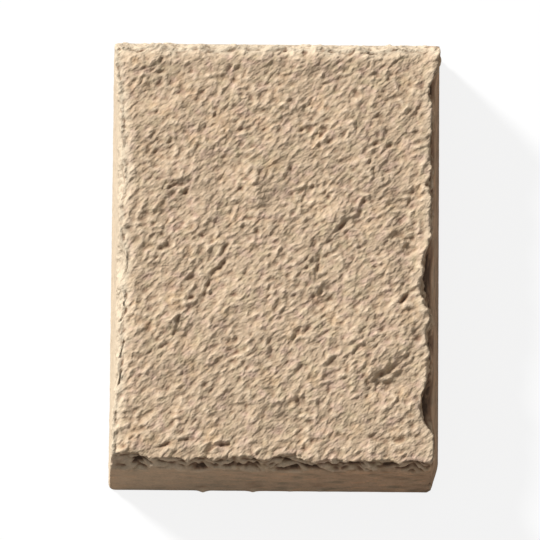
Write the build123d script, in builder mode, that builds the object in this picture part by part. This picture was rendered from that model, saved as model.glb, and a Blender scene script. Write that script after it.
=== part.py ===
from build123d import *
import math
import os

# Trim stone: a small rectangular block of cast concrete with a rock face.
# It lies on its flat back. X runs across its width, Y along its height and Z out of its back,
# with the origin at the middle of the back.

# Driving dimensions, in millimetres and degrees
WIDTH = 149.0
HEIGHT = 204.0
THICKNESS = 42.0
CORNER_RADIUS = 3.0

# The lower part of each side is as it left the mould, with a little draft
CAST_HEIGHT = 32.0
CAST_DRAFT = 5.0

# Above it the margin leans in more, and is pitched back with a chisel
PITCH_SLOPE = 12.0

# The rock face stands as a low cushion between the margins
CROWN = 1.2
BLANK_SPARE = 6.0

# Grid on which the rock face is drawn, and how far it runs past the block
FACE_STEP = 5.5
FACE_OVERLAP = 8.0
FACE_TOLERANCE = 0.12

cast_setback = CAST_HEIGHT * math.tan(math.radians(CAST_DRAFT))
pitch_height = THICKNESS - CAST_HEIGHT


# Pitched margin
# A chisel blow on the arris throws off a shell-shaped flake, so each hollow is a piece of a sphere.
# A size of flake is (radius of the hollow, level where it is deepest), and the small ones are
# secondary chips that broke out below the arris.
SMALL_FLAKE = (8.0, 36.5)
MIDDLE_FLAKE = (12.0, 40.5)
BROAD_FLAKE = (20.0, 43.0)

# The sides are keyed by name, with the direction each faces, in degrees, and its reach.
# Along a side, distances run anticlockwise as the face is looked at.
SIDES = {
    "bottom": (-90, HEIGHT / 2),
    "right": (0, WIDTH / 2),
    "top": (90, HEIGHT / 2),
    "left": (180, WIDTH / 2),
}

# A blow is (distance along the side from its middle, how deep the flake bites)
BLOWS = {
    BROAD_FLAKE: {
        "bottom": [(-64.0, 4.8), (-47.0, 3.0), (-12.0, 3.6), (8.0, 4.6), (27.0, 2.8), (50.0, 2.2)],
        "right": [(48.4, 1.4), (-5.0, 2.6), (-18.0, 3.8), (-72.2, 3.8)],
        "top": [(-60.0, 2.4), (-28.0, 2.6), (9.0, 2.4), (44.0, 2.7)],
        "left": [(-32.5, 3.1), (6.0, 3.3), (24.0, 2.9), (43.6, 1.6)],
    },
    MIDDLE_FLAKE: {
        "bottom": [(-31.5, 2.8), (-21.5, 2.2), (39.0, 1.9), (70.0, 1.6)],
        "right": [(30.6, 1.4), (16.0, 1.2), (-38.5, 2.6), (-53.3, 2.0)],
        "top": [(-44.0, 2.7), (-10.0, 2.4), (27.0, 2.6), (63.0, 2.3)],
        "left": [(-47.4, 1.6), (58.5, 1.0)],
    },
    SMALL_FLAKE: {
        "bottom": [(-59.0, 2.6), (-34.0, 2.4), (-7.0, 2.2), (12.0, 2.4), (36.3, 2.4), (61.0, 2.6)],
        "right": [(75.0, 2.0), (-61.5, 2.0)],
    },
}


def flake_place(side, along, bite, radius, level):
    """Where the sphere lies that bites this deep into a side's slope at this level."""
    facing, reach = SIDES[side]
    slope = math.radians(PITCH_SLOPE)
    stand_off = radius - bite
    slope_face = reach - cast_setback - (level - CAST_HEIGHT) * math.tan(slope)
    from_axis = slope_face + stand_off * math.cos(slope)
    centre = Vector(from_axis, along, level + stand_off * math.sin(slope)).rotate(Axis.Z, facing)
    return Location(centre, (0, 0, facing))


# Rock face
# Its height is a low cushion with forms on it: the scar of one large flake with a raised lip, two
# long falls, dents and swells, and a slow unevenness.
SCAR_CENTRE = (49.5, -8.6)
SCAR_RADIUS = 31.0
SCAR_DEPTH = 2.0
SCAR_STEP = 4.5
SCAR_OPENS_TOWARDS = -35.0

# The lip's height as a share of the scar's depth, and how far outside the rim it stands
LIP_SHARE = 0.3
LIP_OUT = 4.0
LIP_WIDTH = 5.0

# Each long fall runs from a first point to a second, and the stone is lower on its right:
# first point, second point, drop, half width of the step. It comes back up over a few half widths.
RECOVERY = 3.0
FALLS = [
    ((33.5, 62.0), (50.0, 26.0), 1.3, 7.0),
    ((-21.0, -3.0), (-33.0, -18.0), 0.6, 4.0),
]

# Each dent or swell: centre, half length, half width, turn in degrees, height.
# The broad ones shape the face as a whole.
BROAD_FORMS = [
    ((54.0, -59.0), 13.0, 5.5, 26.0, -1.5),
    ((-56.0, 73.0), 15.0, 6.0, 4.0, -0.9),
    ((-10.5, 28.5), 6.0, 10.0, 0.0, 1.0),
    ((-54.0, -45.0), 15.0, 5.0, 26.0, 0.6),
    ((1.7, -45.9), 17.0, 15.0, 0.0, 0.6),
    ((-34.0, 52.0), 13.0, 17.0, 20.0, 0.4),
    ((-46.0, 8.0), 11.0, 19.0, -15.0, -0.4),
    ((26.0, -80.0), 19.0, 9.0, 8.0, 0.3),
    ((-22.0, -72.0), 16.0, 10.0, -12.0, -0.4),
]

# Swells between them, about as wide as a thumb
SWELLS = [
    ((-56.0, 88.0), 6.0, 4.5, 0.0, 0.6),
    ((-46.0, 62.0), 7.0, 4.5, 75.0, 0.6),
    ((-43.0, 36.0), 10.0, 4.5, 10.0, 0.7),
    ((-25.0, 54.0), 5.5, 5.0, 0.0, 0.6),
    ((15.0, 88.0), 7.0, 4.5, 0.0, 0.7),
    ((30.0, 62.0), 7.0, 5.0, -15.0, 0.6),
    ((41.0, 37.0), 7.5, 5.0, -75.0, 0.7),
    ((28.0, 17.0), 8.0, 5.0, 50.0, 0.9),
    ((48.0, 12.0), 7.0, 4.5, 90.0, 0.5),
    ((52.0, -8.0), 6.5, 5.0, 90.0, 0.5),
    ((37.0, -16.0), 5.0, 4.5, 0.0, 0.5),
    ((55.0, -24.0), 8.0, 4.5, -65.0, 0.6),
    ((37.0, -38.0), 7.5, 6.0, 90.0, 0.6),
    ((46.0, -50.0), 10.0, 4.5, 25.0, 0.7),
    ((-43.0, -5.0), 6.5, 5.5, 0.0, 0.6),
    ((-46.0, -29.0), 7.0, 4.5, 70.0, 0.8),
    ((-25.0, -31.0), 9.0, 5.0, 60.0, 0.6),
    ((-6.0, -38.0), 6.5, 5.5, 0.0, 0.5),
    ((-62.0, -38.0), 6.0, 5.5, 0.0, 0.6),
    ((-4.0, -67.0), 9.0, 4.5, -20.0, 0.5),
    ((16.0, -62.0), 5.5, 4.5, 90.0, 0.5),
    ((43.0, -72.0), 11.0, 4.5, -15.0, 0.5),
    ((-37.0, -76.0), 6.0, 5.0, 0.0, 0.5),
    ((-28.0, -88.0), 5.0, 5.0, 0.0, 0.6),
    ((-46.0, -86.0), 5.5, 4.5, 0.0, 0.6),
    ((-33.0, 13.0), 7.0, 4.5, 65.0, 0.5),
    ((-56.0, 10.0), 6.0, 4.5, 0.0, 0.5),
    ((43.0, 71.0), 5.0, 4.5, 90.0, 0.5),
    ((64.0, -36.0), 5.5, 4.5, 60.0, 0.5),
]

# Dents of the same size
DENTS = [
    ((-41.0, 25.0), 6.0, 5.0, 90.0, -1.1),
    ((-49.0, 17.0), 7.0, 4.5, 45.0, -0.5),
    ((-23.0, 38.0), 6.5, 5.0, 90.0, -0.9),
    ((-52.0, 46.0), 7.0, 4.5, 0.0, -0.8),
    ((15.0, 26.0), 7.0, 6.5, 90.0, -0.8),
    ((-18.0, 80.0), 6.0, 4.5, 0.0, -0.6),
    ((26.0, 81.0), 8.0, 4.5, 0.0, -0.5),
    ((54.0, 73.0), 7.0, 4.5, 70.0, -0.6),
    ((57.0, 46.0), 8.0, 5.0, -55.0, -0.6),
    ((60.0, 24.0), 6.0, 4.5, 0.0, -0.7),
    ((61.0, 3.0), 9.0, 4.5, 90.0, -1.2),
    ((43.0, 0.0), 5.5, 4.5, 0.0, -0.6),
    ((-56.0, -16.0), 8.0, 5.0, 100.0, -0.6),
    ((-29.0, -18.0), 8.0, 4.5, 60.0, -0.5),
    ((-39.0, -39.0), 6.5, 4.5, 0.0, -0.7),
    ((23.0, -24.0), 7.0, 4.5, 0.0, -0.8),
    ((50.0, -34.0), 5.0, 4.5, 0.0, -0.5),
    ((27.0, -62.0), 5.5, 4.5, 90.0, -0.7),
    ((6.0, -80.0), 9.0, 6.0, 0.0, -0.5),
    ((-61.0, 28.0), 5.0, 4.5, 0.0, -0.5),
    ((60.0, 89.0), 5.5, 4.5, 90.0, -0.5),
]

# Slow unevenness: wavelength, direction in degrees, phase in degrees, height
WAVES = [
    (61.0, 28.0, 40.0, 0.28),
    (47.0, 112.0, 200.0, 0.24),
    (36.0, 71.0, 310.0, 0.18),
]


def rise(distance, width):
    """Goes smoothly from 0 to 1 while distance goes from -width to width."""
    t = min(max((distance + width) / (2 * width), 0.0), 1.0)
    return t * t * (3 - 2 * t)


def scar(x, y):
    """Sunk inside the big flake's rim, deepest just past the rim, and open on one side."""
    across, up = x - SCAR_CENTRE[0], y - SCAR_CENTRE[1]
    from_centre = math.hypot(across, up)
    away = math.atan2(up, across) - math.radians(SCAR_OPENS_TOWARDS)
    closed = (1 - math.cos(away)) / 2
    inside = rise(SCAR_RADIUS - from_centre, SCAR_STEP)
    hollow = inside * (from_centre / SCAR_RADIUS) ** 2
    from_lip = (from_centre - SCAR_RADIUS - LIP_OUT) / LIP_WIDTH
    lip = LIP_SHARE * math.exp(-(from_lip**2))
    return SCAR_DEPTH * closed * (lip - hollow)


def fall(x, y, first, second, drop, width):
    """Drops on the right of the line from first to second, and comes back up slowly."""
    run = (second[0] - first[0], second[1] - first[1])
    length = math.hypot(*run)
    along = ((x - first[0]) * run[0] + (y - first[1]) * run[1]) / length
    left = ((y - first[1]) * run[0] - (x - first[0]) * run[1]) / length
    ends = rise(along, width) * rise(length - along, width)
    recovery = math.exp(-max(-left - width, 0.0) / (RECOVERY * width))
    return -drop * ends * rise(-left, width) * recovery


def form(x, y, centre, half_length, half_width, turn, height):
    """A smooth dent or swell with an oval outline."""
    across, up = x - centre[0], y - centre[1]
    c, s = math.cos(math.radians(turn)), math.sin(math.radians(turn))
    u = (across * c + up * s) / half_length
    v = (up * c - across * s) / half_width
    return height * math.exp(-(u * u + v * v))


def wave(x, y, length, direction, phase, height):
    """One slow wave across the face."""
    heading = math.radians(direction)
    along = x * math.cos(heading) + y * math.sin(heading)
    return height * math.sin(2 * math.pi * along / length + math.radians(phase))


def face_relief(x, y):
    """Height of the rock face above the level of its corners."""
    u, v = 2 * x / WIDTH, 2 * y / HEIGHT
    level = CROWN * (1 - u**4) * (1 - v**4)
    level += scar(x, y)
    level += sum(fall(x, y, *entry) for entry in FALLS)
    level += sum(form(x, y, *entry) for entry in BROAD_FORMS + SWELLS + DENTS)
    level += sum(wave(x, y, *entry) for entry in WAVES)
    return level


def stations(size):
    """Evenly spaced places from one overlap to the other."""
    reach = size / 2 + FACE_OVERLAP
    count = math.ceil(2 * reach / FACE_STEP)
    return [-reach + 2 * reach * i / count for i in range(count + 1)]


# The face is lifted until its highest place stands at the stone's full thickness
columns, rows = stations(WIDTH), stations(HEIGHT)
foot = THICKNESS - max(face_relief(x, y) for x in columns for y in rows)
rock_face = Face.make_surface_from_array_of_points(
    [[Vector(x, y, foot + face_relief(x, y)) for y in rows] for x in columns],
    tol=FACE_TOLERANCE,
    min_deg=3,
)

with BuildPart() as trim_stone:
    # The cast block
    with BuildSketch():
        RectangleRounded(WIDTH, HEIGHT, CORNER_RADIUS)
    extrude(amount=CAST_HEIGHT, taper=CAST_DRAFT)

    # The spare stone of the pitched margin and the face
    cast_top = trim_stone.faces().sort_by(Axis.Z)[-1]
    extrude(cast_top, amount=pitch_height + BLANK_SPARE, taper=PITCH_SLOPE)

    # The flakes that the chisel took off the margin
    for (radius, level), sides in BLOWS.items():
        places = [
            flake_place(side, along, bite, radius, level)
            for side, blows in sides.items()
            for along, bite in blows
        ]
        with Locations(*places):
            Sphere(radius, mode=Mode.SUBTRACT)

    # The rock face
    split(bisect_by=rock_face, keep=Keep.BOTTOM)

trim_stone.part.label = "trim_stone"
os.makedirs("parts", exist_ok=True)
export_step(trim_stone.part, "parts/trim_stone.step")
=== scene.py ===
# %% [markdown]
# # A rock-faced trim stone
# The object is one small block of cast concrete that lies on its flat back. It was cast in a mould, so
# its sides are smooth and taper a little. Then its margin was pitched back with a chisel, and its face
# is as rough as broken rock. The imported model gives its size, which is an estimate, and its broad
# forms. This lesson lays a fine skin over that model, roughens it and gives it the colours of sandy
# concrete.

import math

import bpy
import numpy as np
from mathutils import Euler, Matrix, Vector, geometry, noise
from mathutils.bvhtree import BVHTree


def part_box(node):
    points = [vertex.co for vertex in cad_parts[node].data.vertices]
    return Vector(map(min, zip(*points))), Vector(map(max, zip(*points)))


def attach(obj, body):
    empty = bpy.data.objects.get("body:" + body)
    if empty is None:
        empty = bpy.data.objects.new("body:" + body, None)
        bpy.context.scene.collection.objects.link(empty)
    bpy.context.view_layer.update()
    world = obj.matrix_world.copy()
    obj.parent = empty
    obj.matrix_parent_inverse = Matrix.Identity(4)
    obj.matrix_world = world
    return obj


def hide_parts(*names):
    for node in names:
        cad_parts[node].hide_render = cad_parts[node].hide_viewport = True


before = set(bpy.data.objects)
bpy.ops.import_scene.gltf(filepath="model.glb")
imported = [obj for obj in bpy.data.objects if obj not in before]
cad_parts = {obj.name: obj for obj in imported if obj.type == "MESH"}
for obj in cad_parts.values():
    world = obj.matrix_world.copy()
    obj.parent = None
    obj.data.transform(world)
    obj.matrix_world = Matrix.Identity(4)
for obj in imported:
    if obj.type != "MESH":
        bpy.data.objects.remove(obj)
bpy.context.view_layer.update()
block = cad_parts["trim_stone"]

# %% [markdown]
# ## The sizes that the skin needs
# All shape work here is in millimetres, because a mason thinks in them, and turns to metres at the end.
# The block's size is read from the imported model. The height of the smooth cast part of the sides, its
# draft and the slope of the pitched margin are those of the model, and say where a side would stand if
# no flake had been struck off.

# %% Sizes
MM = 0.001
CAST_HEIGHT = 32.0
CAST_DRAFT = math.tan(math.radians(5.0))
PITCH_SLOPE = math.tan(math.radians(12.0))

half_width, half_height, thickness = np.array(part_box("trim_stone")[1]) / MM


def setback(level):
    """How far a whole side stands in from the back's edge at this level."""
    cast = np.minimum(level, CAST_HEIGHT) * CAST_DRAFT
    pitched = np.maximum(level - CAST_HEIGHT, 0.0) * PITCH_SLOPE
    return cast + pitched


print("width", 2 * half_width, "height", 2 * half_height, "thickness", thickness)

# %% [markdown]
# ## A skin of even quads
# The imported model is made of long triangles, which can't carry a rough surface. A voxel remesh would give
# even ones, but it would also round the arrises. So the skin is laid like a fitted sheet. A fine grid is
# dropped on the face from above, and rings of points run from the grid's border down the sides. Each
# point is found by a ray that meets the model, so every flake and swell of the block is kept.

# %% Rays onto the block
shape = block.data
surface = BVHTree.FromPolygons(
    [tuple(vertex.co / MM) for vertex in shape.vertices],
    [tuple(polygon.vertices) for polygon in shape.polygons],
)
FAR = 30.0


def drop(x, y):
    """The place on the block straight under a point of the face."""
    hit = surface.ray_cast(Vector((x, y, thickness + FAR)), Vector((0, 0, -1)))[0]
    return tuple(hit)


def push_in(place, inward):
    """The place on a side that a level ray meets, or the place given if it meets none."""
    start = place - inward * FAR
    hit = surface.ray_cast(start, inward)[0]
    return tuple(hit if hit is not None else place)


# %% [markdown]
# The flakes bite into the arris, so the face's outline isn't straight. From the place where a whole
# arris would be, a short march inward looks for the first point that stands at the level of the face.

# %% Where the face begins
COLUMNS, ROWS = 204, 286
MARCH_STEP = 0.1
WELL_IN = 8.0
LIP = 1.5
START_OUT = 0.2
WINDOW = 5
arris_x = half_width - setback(thickness) + START_OUT
arris_y = half_height - setback(thickness) + START_OUT
along_x = np.linspace(-arris_x, arris_x, COLUMNS + 1)
along_y = np.linspace(-arris_y, arris_y, ROWS + 1)


def face_begins(point_at):
    """How far in from the whole arris the face begins, where point_at(inward) gives a place."""
    level = drop(*point_at(WELL_IN))[2] - LIP
    for inward in np.arange(0, WELL_IN, MARCH_STEP):
        if drop(*point_at(inward))[2] > level:
            return inward
    return WELL_IN


def settled(profile):
    """The profile with its jumps eased, and nowhere nearer the arris than it was."""
    count, more = len(profile), WINDOW - 1
    padded = np.pad(profile, more, mode="edge")
    widest = np.max([padded[k:k + count + more] for k in range(WINDOW)], axis=0)
    return np.mean([widest[k:k + count] for k in range(WINDOW)], axis=0)


left = settled(np.array([face_begins(lambda d: (d - arris_x, y)) for y in along_y]))
right = settled(np.array([face_begins(lambda d: (arris_x - d, y)) for y in along_y]))
bottom = settled(np.array([face_begins(lambda d: (x, d - arris_y)) for x in along_x]))
top = settled(np.array([face_begins(lambda d: (x, arris_y - d)) for x in along_x]))
furthest_in = max(float(profile.max()) for profile in (left, right, bottom, top))
print("the face begins up to", round(furthest_in, 1), "mm in")

# %% The grid on the face
u = np.linspace(0, 1, COLUMNS + 1)[None, :]
v = np.linspace(0, 1, ROWS + 1)[:, None]
face_x = (left[:, None] - arris_x) * (1 - u) + (arris_x - right[:, None]) * u
face_y = (bottom[None, :] - arris_y) * (1 - v) + (arris_y - top[None, :]) * v
face_base = np.array([[drop(x, y) for x, y in zip(*row)] for row in zip(face_x, face_y)])
print("face grid", face_base.shape, "quad", 2 * arris_x / COLUMNS, "mm")

# %% The border of the grid
# It runs anticlockwise from the lower left corner, as (row, column) pairs.
border = (
    [(0, c) for c in range(COLUMNS)]
    + [(r, COLUMNS) for r in range(ROWS)]
    + [(ROWS, c) for c in range(COLUMNS, 0, -1)]
    + [(r, 0) for r in range(ROWS, 0, -1)]
)
border_base = np.array([face_base[r, c] for r, c in border])
around = len(border)

# %% [markdown]
# Near a corner the inward rays swing round a centre that lies a little way in, like the spokes of a
# wheel, so the corner gets its share of points and none of them cross.

# %% The rings down the sides
# The last level is a hair above the back, where a ray still meets the side.
CORNER_TURN = 8.0
MARGIN_RINGS = 15
CAST_LEVELS = (
    31.3, 30.5, 29.5, 28.2, 26.4, 24.0, 21.0, 18.0, 15.0,
    12.0, 9.0, 6.0, 3.6, 2.0, 1.0, 0.4, 0.01,
)


def spoke(x, y, level):
    """Where a ray toward the stone starts at a level, and its direction, for a place on the arris."""
    reach_x, reach_y = half_width - setback(level), half_height - setback(level)
    place = Vector((x / arris_x * reach_x, y / arris_y * reach_y, level))
    hub_x, hub_y = reach_x - CORNER_TURN, reach_y - CORNER_TURN
    hub = Vector((min(max(place.x, -hub_x), hub_x), min(max(place.y, -hub_y), hub_y), level))
    return place, (hub - place).normalized()


def ring(fraction=None, level=None):
    """One ring of places on the sides, at a fraction of the margin's height or at one level."""
    places, outwards = [], []
    for (r, c), (x, y, start) in zip(border, border_base):
        at = level if fraction is None else start + (CAST_HEIGHT - start) * fraction
        place, inward = spoke(along_x[c], along_y[r], at)
        places.append(push_in(place, inward))
        outwards.append(tuple(-inward))
    return places, outwards


rings = [ring(fraction=(i + 1) / MARGIN_RINGS) for i in range(MARGIN_RINGS)]
rings += [ring(level=level) for level in CAST_LEVELS]
side_base = np.array([places for places, outwards in rings])
side_out = np.array([outwards for places, outwards in rings])
print("rings", side_base.shape)

# %% [markdown]
# ## Corners that kept their stone
# The chisel did not bite everywhere. In the photograph the face reaches almost out to the mould's line at
# the two upper corners and at the lower left, and draws in between them. So the margin is eased outward
# there, by a share of the room that its slope leaves, and it stays inside the block's own outline. The
# top margin is drawn in a little further, the right one in two long bites, and the lower right corner
# has been knocked round. Two small curves do all of it: one that eases in, and one that fades away.

# %% Two curves
def ease(value, start, end):
    """Goes smoothly from 0 at start to 1 at end."""
    t = np.clip((value - start) / (end - start), 0, 1)
    return t * t * (3 - 2 * t)


def fade(distance, reach):
    """Falls smoothly from 1 at no distance, and is nearly gone at twice the reach."""
    return np.exp(-((distance / reach) ** 2))


# %% Spared corners
# Shares are of the room that the slope leaves. Each band says from where to where, in millimetres from
# the block's middle, a move eases in.
UPPER_LEFT, UPPER_LEFT_BAND = 0.65, (66, 88)
LOWER_LEFT, LOWER_LEFT_BAND = 0.5, (55, 80)
UPPER_RIGHT, UPPER_RIGHT_BAND = 0.75, (80, 90)
LOWER_RIGHT, LOWER_RIGHT_BAND = 0.35, (72, 85)
TOP_SHARE, TOP_BAND = 0.35, (78, 96)
SIDE_BAND = (45, 68)
RIGHT_BITES = ((-11, 13, 0.45), (-69, 10, 0.35))
KNOCKED_OFF, KNOCKED_RIGHT, KNOCKED_DOWN = 3.0, (64, 75), (88, 102)


def spare(places):
    """The places, eased outward near the corners that kept their stone."""
    x, y, level = (places[..., axis] for axis in range(3))
    left_share = UPPER_LEFT * ease(y, *UPPER_LEFT_BAND) + LOWER_LEFT * ease(-y, *LOWER_LEFT_BAND)
    right_share = UPPER_RIGHT * ease(y, *UPPER_RIGHT_BAND) + LOWER_RIGHT * ease(-y, *LOWER_RIGHT_BAND)
    for middle, half_length, depth in RIGHT_BITES:
        right_share = right_share - depth * fade(y - middle, half_length)
    share = right_share * ease(x, *SIDE_BAND) - left_share * ease(-x, *SIDE_BAND)
    knocked = KNOCKED_OFF * ease(x, *KNOCKED_RIGHT) * ease(-y, *KNOCKED_DOWN)
    moved = places.copy()
    moved[..., 0] += share * setback(level) - knocked
    moved[..., 1] -= TOP_SHARE * setback(level) * ease(y, *TOP_BAND)
    return moved


as_found = side_base
face_base = spare(face_base)
side_base = spare(side_base)
print("spared corners reach", round(float(face_base[..., 0].max()), 1), "mm right of the middle")

# %% [markdown]
# Where a flake ends, neighbouring rays land at different depths, and a sharp ridge would run up the
# margin. So each ring of the margin is evened out a little along its own length. Its levels stay.

# %% Even out the margin
SMOOTHING_PASSES = 3
for pass_number in range(SMOOTHING_PASSES):
    beside = np.roll(side_base, 1, axis=1) + np.roll(side_base, -1, axis=1)
    side_base[:MARGIN_RINGS, :, :2] = (side_base + beside / 2)[:MARGIN_RINGS, :, :2] / 2
furthest = float(np.abs(side_base - spare(as_found)).max())
print("evening moves a point by up to", round(furthest, 1), "mm")

# %% [markdown]
# ## Which way the surface grows
# Relief is added along the way that the stone faces. On the face that is straight up, and on a side it
# is level. Between them it turns over a few millimetres, so the arris breaks up instead of folding.

# %% Directions
EDGE_TURN = 3.0
EDGE_LEAN = 0.7
CAST_RISE, MARGIN_RISE = 0.1, 0.75
row, column = np.indices(face_base.shape[:2])
spacing = 2 * arris_x / COLUMNS
toward_edge = np.zeros_like(face_base)
for axis, index, count in ((0, column, COLUMNS), (1, row, ROWS)):
    steps_in = np.minimum(index, count - index)
    outward = np.sign(2 * index - count)
    toward_edge[..., axis] = outward * np.clip(1 - steps_in * spacing / EDGE_TURN, 0, 1)
face_way = toward_edge * EDGE_LEAN
face_way[..., 2] = 1.0
face_way /= np.linalg.norm(face_way, axis=-1, keepdims=True)

side_way = side_out.copy()
rising = np.clip((side_base[..., 2] - CAST_HEIGHT) / (thickness - CAST_HEIGHT), 0, 1)
side_way[..., 2] = CAST_RISE + MARGIN_RISE * rising
side_way /= np.linalg.norm(side_way, axis=-1, keepdims=True)

# %% [markdown]
# ## Where the stone is broken
# A cast side still lies on the plane that the mould gave it. Where a point is further in than that, a
# flake has gone and the rough inside shows. The face is broken all over. Noise makes the line between
# the cast side and the pitched margin ragged.

# %% Noise in millimetres
WAVE_TO_CELL = 1.7
SEED_STEP = np.array((17.3, -5.9, 31.7))


def speckle(points, wavelength, seed):
    """Smooth noise at places in millimetres, about -1 to 1, with bumps one wavelength apart."""
    flat = points.reshape(-1, 3) * WAVE_TO_CELL / wavelength + seed * SEED_STEP
    return np.array([noise.noise(place) for place in flat.tolist()]).reshape(points.shape[:-1])


# %% Broken or cast
RAGGED_WIDE, WIDE_WAVE = 4.0, 9.0
RAGGED_SMALL, SMALL_WAVE = 1.2, 2.6
BREAK_FROM, BREAK_TO = CAST_HEIGHT + 1.0, CAST_HEIGHT + 3.0
FLAKE_FROM, FLAKE_TO = 0.1, 0.5
level = side_base[..., 2]
gap_x = half_width - setback(level) - np.abs(as_found[..., 0])
gap_y = half_height - setback(level) - np.abs(as_found[..., 1])
missing = np.minimum(gap_x, gap_y)
ragged = RAGGED_WIDE * speckle(side_base, WIDE_WAVE, seed=1)
ragged += RAGGED_SMALL * speckle(side_base, SMALL_WAVE, seed=2)
pitched = ease(level + ragged, BREAK_FROM, BREAK_TO)
side_broken = np.maximum(pitched, ease(missing, FLAKE_FROM, FLAKE_TO))
face_broken = np.ones(face_base.shape[:2])
print("broken share of the sides", round(float(side_broken.mean()), 2))

# %% [markdown]
# ## Rough relief
# Broken concrete is rough at every scale: grains, chips, and swells as wide as a thumb. Adding layers
# of noise gives that. The block has the wide swells already, so the layers here start below them. The
# break ran across the stone one way, which left short streaks. So the noise is stretched along them,
# the small layers most. It is read in three dimensions, so it runs over the arris without a seam.

# %% Layers of relief
# Each layer has its wavelength, its rms height and how far it is stretched along the streaks.
NOISE_RMS = 0.25
STREAK_HEADING = math.radians(42.0)
LAYERS = (
    (12.0, 0.12, 1.2),
    (8.2, 0.12, 1.3),
    (5.9, 0.10, 1.4),
    (4.3, 0.09, 1.6),
    (3.2, 0.12, 1.6),
    (2.4, 0.13, 1.7),
)
FIRST_LAYER_SEED = 3
BEND, BEND_WAVE, BEND_SEEDS = 1.1, 9.0, (31, 32, 33)
FINE = 6.0
PATCHY, PATCH_WAVE = 0.6, 30.0
LEAST_ROUGH, MOST_ROUGH = 0.4, 1.7


def streaked(points, stretch):
    """The points, moved so that noise read at them is stretched along the streaks."""
    c, s = math.cos(STREAK_HEADING), math.sin(STREAK_HEADING)
    along = (points[..., 0] * c + points[..., 1] * s) / stretch
    across = points[..., 1] * c - points[..., 0] * s
    return np.stack([along, across, points[..., 2]], axis=-1)


def relief(points):
    """Height of the rough relief at each place, in millimetres."""
    push = np.stack([speckle(points, BEND_WAVE, seed) for seed in BEND_SEEDS], axis=-1)
    bent = points + BEND * push
    rough = np.clip(1 + PATCHY * speckle(points, PATCH_WAVE, seed=41), LEAST_ROUGH, MOST_ROUGH)
    height = np.zeros(points.shape[:-1])
    for seed, (wavelength, rms, stretch) in enumerate(LAYERS, FIRST_LAYER_SEED):
        layer = rms / NOISE_RMS * speckle(streaked(bent, stretch), wavelength, seed)
        height += layer * rough if wavelength < FINE else layer
    return height


face_relief = relief(face_base)
side_relief = relief(side_base)
print("relief rms", round(float(face_relief.std()), 3), "mm")

# %% [markdown]
# ## From the stone to the photograph
# The photograph's verticals don't converge, so the camera stood far off with a long lens. It looked
# down on the stone from a little below it, which is why the lower side shows. The same projection
# tells where in the picture each point of the skin falls, so marks can be read off the picture.

# %% The projection
# Lengths are in millimetres. The aim is what falls on the picture's middle: a little left of the
# middle of the stone's back, and a little above it.
IMAGE_PIXELS = 540
MM_PER_PIXEL = 0.4552
SENSOR = 36.0
CAMERA_ELEVATION = math.radians(77.0)
CAMERA_DISTANCE = 3500.0
CAMERA_ROLL = math.radians(0.5)
AIM_RIGHT, AIM_UP = -2.28, 0.64


def in_picture(points):
    """The pixel, across and down, at which each place on the stone is seen."""
    high_part, low_part = math.sin(CAMERA_ELEVATION), math.cos(CAMERA_ELEVATION)
    across = points[..., 0]
    up = points[..., 1] * high_part + points[..., 2] * low_part
    near = points[..., 2] * high_part - points[..., 1] * low_part
    c, s = math.cos(CAMERA_ROLL), math.sin(CAMERA_ROLL)
    right = across * c + up * s - AIM_RIGHT
    above = up * c - across * s - AIM_UP
    scale = CAMERA_DISTANCE / (CAMERA_DISTANCE - near) / MM_PER_PIXEL
    middle = IMAGE_PIXELS / 2
    return middle + right * scale, middle - above * scale


face_pixels = in_picture(face_base)
across_span, down_span = (round(float(np.ptp(pixels))) for pixels in face_pixels)
print("the face spans", across_span, "by", down_span, "pixels")

# %% [markdown]
# ## Marks that this stone has
# Some marks are the stone's own: pits with a knob in them, slits, ledges and scars. Each is a smooth
# oval dent or swell, placed at its pixel in the photograph. Its half length and half width are
# in pixels, its turn in degrees, and its height in millimetres.

# %% Marks on the face
BROAD_SWELLS = (
    (137, 65, 25, 9, 0, 0.35), (205, 84, 12, 12, 0, 0.25), (262, 52, 14, 8, 0, 0.5),
    (318, 60, 14, 14, 0, 0.35), (392, 67, 16, 10, 0, 0.3), (280, 103, 14, 14, 0, 0.3),
    (232, 134, 16, 8, 0, 0.25), (347, 134, 24, 15, -60, 1.3), (366, 175, 14, 11, -60, 0.7),
    (187, 171, 18, 12, -40, 0.6), (256, 172, 20, 9, 90, 0.55), (345, 221, 15, 14, 0, 0.9),
    (128, 172, 12, 8, 90, 0.35), (418, 147, 14, 8, 90, 0.35), (172, 130, 20, 9, 75, 0.2),
    (224, 248, 22, 12, 0, 0.55), (165, 255, 20, 12, 0, 0.4), (343, 272, 26, 12, -60, 0.6),
    (408, 311, 16, 14, 0, 1.3), (352, 335, 16, 14, 90, 0.45), (380, 350, 16, 10, 0, 0.3),
    (261, 340, 26, 17, 90, 0.55), (175, 316, 14, 12, 90, 0.4), (168, 361, 22, 11, 20, 0.4),
    (345, 411, 15, 10, 0, 0.3), (395, 415, 18, 8, -20, 0.35),
)
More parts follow.
